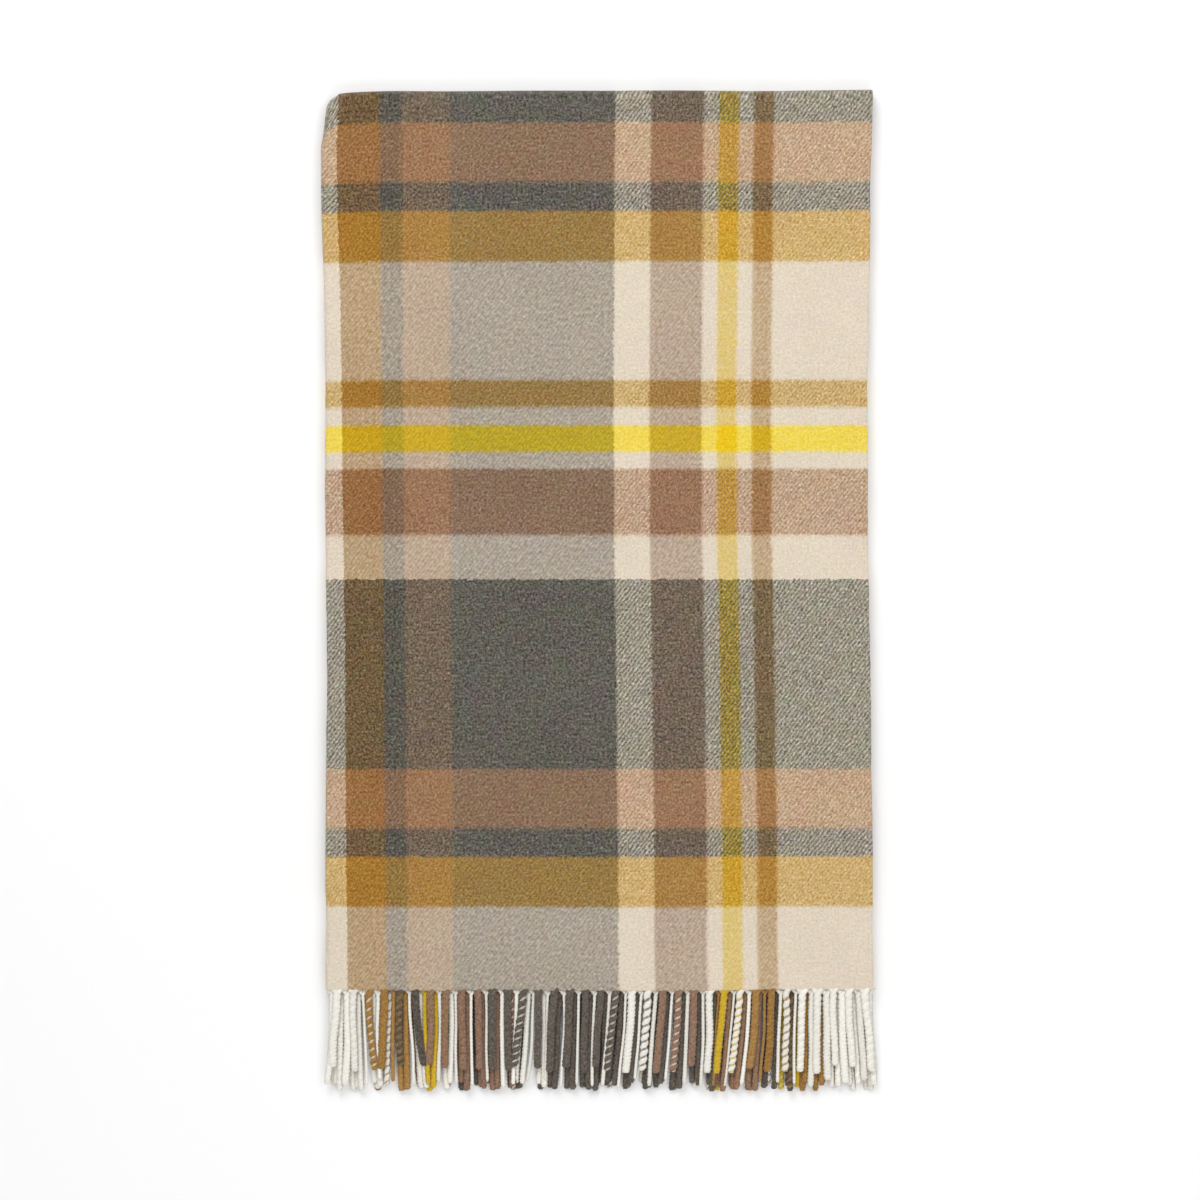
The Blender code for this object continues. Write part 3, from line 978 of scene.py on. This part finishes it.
def weave_material(settings, warp, weft):
    """The check, yarn by yarn: a 2/2 twill whose lines climb to the right, under a brushed nap."""
    graph = NodeGraph("brushed_wool_check")
    flat = graph.node("ShaderNodeUVMap", uv_map="flat_cloth")

    # The yarns wander a little, and the nap drags the edges of the stripes about
    u, v = wandering_place(graph, flat, YARN_WANDER, YARN_WANDER_REACH)
    dragged_u, dragged_v = wandering_place(graph, flat, NAP_DRAG, NAP_DRAG_REACH)
    end_line = graph.sum("MULTIPLY", u, settings.ends)
    pick_line = graph.sum("MULTIPLY", v, settings.picks)
    end = graph.sum("FLOOR", end_line)
    pick = graph.sum("FLOOR", pick_line)
    warp_colour, weft_colour = stripe_colours(graph, dragged_u, dragged_v, settings, warp, weft)

    # Which yarn is on top: the twill moves over by one end at each pick
    step = graph.sum("SUBTRACT", graph.sum("ADD", end, ENDS_BEFORE), pick)
    warp_up = graph.sum("LESS_THAN", graph.sum("MODULO", step, TWILL_REPEAT), TWILL_UP)
    phase = graph.sum("SUBTRACT", end_line, pick_line)
    wave = graph.sum("SINE", graph.sum("MULTIPLY", phase, 2 * math.pi / TWILL_REPEAT))
    over = graph.sum("MULTIPLY_ADD", warp_up, TWILL_STEP, -TWILL_STEP / 2)
    over = graph.sum("MULTIPLY_ADD", wave, TWILL_WAVE, over)

    # Fibres: streaks along each yarn, the nap's tufts, and fine flecks that are strongest in dark wool
    streak = yarn_streaks(graph, u, v, end, pick, warp_up)
    tuft = graph.grain(flat, *TUFTS)
    fleck = graph.grain(flat, *FLECKS)
    # Broad patches of painted shade, for the soft waves of the cloth
    painted_wave_shade = graph.grain(flat, *PAINTED_WAVE_SHADE)
    dyed = graph.coloured_grain(flat, *DYED_FIBRES)
    patch = graph.coloured_grain(flat, *PATCHES)
    ridge = float_ridges(graph, end_line, pick_line, warp_up)

    # The darker the weft, the more the two yarns show against each other and the less the nap does,
    # and a vivid weft hides the warp
    darkness = graph.sum("SUBTRACT", PALE_WEFT, graph.along(weft_colour, LIGHTNESS))
    darkness = graph.sum("MULTIPLY", darkness, DARKENING)
    shown = graph.sum("MULTIPLY", over, graph.growing(darkness, TWILL_SHOWS, settings.twill))
    brushed = graph.growing(darkness, NAP_SHOWS, settings.nap)
    shown = graph.sum("MULTIPLY_ADD", tuft, brushed, shown)
    shown = graph.sum("MULTIPLY_ADD", streak, STREAK_STRENGTH, shown)
    muted = graph.sum("MULTIPLY_ADD", graph.along(weft_colour, REDNESS), VIVID_MUTES, 1.0)
    shown = graph.sum("MULTIPLY", shown, muted)
    average = graph.mix(WARP_SHARE, weft_colour, warp_colour)
    difference = graph.vector("SUBTRACT", warp_colour, weft_colour)
    colour = graph.vector("MULTIPLY_ADD", difference, shown, average)

    # Fibres of other tones are spun into the dark yarns, the sides of a float get painted shade, and
    # broad patches of painted shade stand for the soft waves of the cloth
    mixed = graph.growing(darkness, HEATHER_SHOWS, settings.heather)
    grain = graph.sum("MULTIPLY_ADD", streak, STREAK_STRENGTH, fleck)
    grain = graph.sum("MULTIPLY", grain, mixed)
    grain = graph.sum("MULTIPLY_ADD", painted_wave_shade, PAINTED_WAVE_SHADE_STRENGTH, grain)
    shade_in = graph.sum("MULTIPLY_ADD", ridge, RIDGE_SHADE, RIDGE_SHADE_MIDDLE)
    grain = graph.sum("ADD", grain, shade_in)
    tint = graph.vector("MULTIPLY", dyed, graph.sum("MULTIPLY", mixed, DYED_STRENGTH))
    patch = graph.vector("MULTIPLY", patch, graph.growing(darkness, PATCHES_SHOW))
    colour = graph.vector("ADD", graph.vector("ADD", colour, grain), graph.vector("ADD", tint, patch))
    height = graph.sum("ADD", fleck, graph.sum("MULTIPLY", ridge, RIDGE_RELIEF))
    wool_surface(graph, colour, height)
    return graph.material


def tassel_material():
    """Twisted wool: each ply in its own yarn, with fibres that run along it."""
    graph = NodeGraph("twisted_wool")
    yarn = graph.node("ShaderNodeAttribute", attribute_name="yarn", output="Vector")
    along = graph.node("ShaderNodeUVMap", uv_map="along_ply")
    streak = graph.grain(graph.vector("MULTIPLY", along, PLY_STRETCH), *PLY_STREAKS)
    fleck = graph.grain(graph.node("ShaderNodeTexCoord", output="Object"), *PLY_FLECKS)
    light = graph.along(yarn, LIGHTNESS)
    height = graph.sum("ADD", streak, fleck)
    mixed = graph.sum("MULTIPLY_ADD", light, PLY_GRAIN_LIGHTER, PLY_GRAIN_DARK)
    colour = graph.vector("ADD", yarn, graph.sum("MULTIPLY", height, mixed))
    wool_surface(graph, colour, height)
    return graph.material


def plain_material(name, colour, roughness):
    """A dull surface of one colour."""
    graph = NodeGraph(name)
    graph.shader.inputs["Base Color"].default_value = (*colour, 1.0)
    graph.shader.inputs["Roughness"].default_value = roughness
    graph.shader.inputs["Specular IOR Level"].default_value = 0.1
    return graph.material


def shared_material(name, make):
    """The material of that name, made when it is first asked for."""
    return bpy.data.materials.get(name) or make()


def add_piece(name, bm, material):
    """A finished piece, faces out and shaded smooth, in the scene under its own name."""
    bmesh.ops.recalc_face_normals(bm, faces=bm.faces[:])
    mesh = bpy.data.meshes.new(name)
    bm.to_mesh(mesh)
    bm.free()
    mesh.shade_smooth()
    mesh.materials.append(material)
    piece = bpy.data.objects.new(name, mesh)
    bpy.context.scene.collection.objects.link(piece)
    return piece


# Operators


class THROW_OT_stage(bpy.types.Operator):
    """Lay the pale floor, hang the soft lights and set the camera"""

    bl_idname = "throw.stage"
    bl_label = "Stage"

    def execute(self, context):
        settings = context.scene.throw_stage
        self.lay_floor(settings)
        self.hang_lights(context)
        self.set_camera(context, settings)
        return {"FINISHED"}

    def lay_floor(self, settings):
        bm = bmesh.new()
        bmesh.ops.create_grid(bm, x_segments=1, y_segments=1, size=settings.floor_size / 2)
        floor = add_piece("floor", bm, plain_material("pale_floor", (0.93, 0.93, 0.93), 0.9))

    def hang_lights(self, context):
        for name, place, size, power in LAMPS:
            lamp = bpy.data.lights.new(name, "AREA")
            lamp.energy = power
            lamp.size = size
            hung = bpy.data.objects.new(name, lamp)
            hung.location = place
            hung.rotation_euler = (-Vector(place)).to_track_quat("-Z", "Y").to_euler()
            hung.visible_camera = False
            context.scene.collection.objects.link(hung)
        world = bpy.data.worlds.new("studio")
        world.use_nodes = True
        background = world.node_tree.nodes["Background"]
        background.inputs["Color"].default_value = (1.0, 1.0, 1.0, 1.0)
        background.inputs["Strength"].default_value = WORLD_STRENGTH
        context.scene.world = world
        context.scene.view_settings.view_transform = "Standard"

    def set_camera(self, context, settings):
        lens = bpy.data.cameras.new("camera")
        lens.lens = settings.lens * MILLIMETRES
        lens.sensor_width = SENSOR_WIDTH
        camera = bpy.data.objects.new("camera", lens)
        away = settings.view_width * lens.lens / lens.sensor_width
        camera.location = (settings.view_x, settings.view_y, UPPER_HIGH.z + away)
        context.scene.collection.objects.link(camera)
        context.scene.camera = camera


class THROW_OT_front_tassels(bpy.types.Operator):
    """Twist the tassels of the row that shows, one piece each"""

    bl_idname = "throw.front_tassels"
    bl_label = "Front tassels"

    def execute(self, context):
        settings = context.scene.throw_fringe
        yarns = context.scene.throw_fringe_yarns
        material = shared_material("twisted_wool", tassel_material)
        draw = random.Random(5)
        for k in range(len(FRONT_ROW)):
            node = f"front_tassel_{k + 1:02d}"
            bm = build_front_tassel(k, settings, yarns, draw)
            piece = add_piece(f"twisted_tassel_{k + 1:02d}", bm, material)
            piece["throw_fringe"] = True
            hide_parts(node)
            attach(piece, "upper_half")
        return {"FINISHED"}


class THROW_OT_under_fringe(bpy.types.Operator):
    """Twist the five rows of tassels that lie under the front row"""

    bl_idname = "throw.under_fringe"
    bl_label = "Fringe underneath"

    def execute(self, context):
        settings = context.scene.throw_fringe
        yarns = context.scene.throw_fringe_yarns
        material = shared_material("twisted_wool", tassel_material)
        draw = random.Random(9)
        for node, height, side, panel in (
            ("upper_flap_fringe", INNER_FLAP, 1, "between"),
            ("upper_middle_fringe", MIDDLE_PANEL, 1, "middle"),
            ("lower_middle_fringe", MIDDLE_PANEL, -1, "middle"),
            ("lower_flap_fringe", INNER_FLAP, -1, "flap"),
            ("lower_outer_fringe", OUTER_PANEL, -1, "outer"),
        ):
            if panel == "between":
                bm = build_strands_between(settings, yarns, draw)
            else:
                bm = build_under_row(height, side, panel, settings, yarns, draw)
            piece = add_piece(f"{node}_tassels", bm, material)
            piece["throw_fringe"] = True
            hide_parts(node)
            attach(piece, "upper_half" if side > 0 else "lower_half")
        return {"FINISHED"}


class THROW_OT_cloth(bpy.types.Operator):
    """Weave the check cloth and fold it in thirds and in half"""

    bl_idname = "throw.cloth"
    bl_label = "Cloth"

    def execute(self, context):
        scene = context.scene
        settings = scene.throw_cloth
        material = weave_material(settings, scene.throw_warp, scene.throw_weft)
        cloth = add_piece("folded_cloth", build_sheet(settings), material)
        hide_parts("upper_cloth", "lower_cloth")
        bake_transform(cloth)
        return {"FINISHED"}


class THROW_PT_panel(bpy.types.Panel):
    """Lists the throw's operators and their settings"""

    bl_idname = "THROW_PT_panel"
    bl_label = "Folded throw"
    bl_space_type = "VIEW_3D"
    bl_region_type = "UI"
    bl_category = "Throw"

    def draw(self, context):
        for operator in OPERATORS:
            self.layout.operator(operator.bl_idname)
        for name, group in SETTINGS:
            column = self.layout.column()
            for prop in group.bl_rna.properties:
                if prop.identifier not in {"rna_type", "name"}:
                    column.prop(getattr(context.scene, name), prop.identifier)


OPERATORS = (THROW_OT_stage, THROW_OT_front_tassels, THROW_OT_under_fringe, THROW_OT_cloth)


def register():
    for name, group in SETTINGS:
        bpy.utils.register_class(group)
        setattr(bpy.types.Scene, name, bpy.props.PointerProperty(type=group))
    for operator in OPERATORS:
        bpy.utils.register_class(operator)
    bpy.utils.register_class(THROW_PT_panel)


def unregister():
    bpy.utils.unregister_class(THROW_PT_panel)
    for operator in reversed(OPERATORS):
        bpy.utils.unregister_class(operator)
    for name, group in reversed(SETTINGS):
        delattr(bpy.types.Scene, name)
        bpy.utils.unregister_class(group)


def write_sizes():
    """Brings the scene's transforms up to date."""
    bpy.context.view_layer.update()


def main():
    register()
    bpy.ops.throw.stage()
    bpy.ops.throw.front_tassels()
    bpy.ops.throw.under_fringe()
    bpy.ops.throw.cloth()
    write_sizes()


if __name__ == "__main__":
    main()
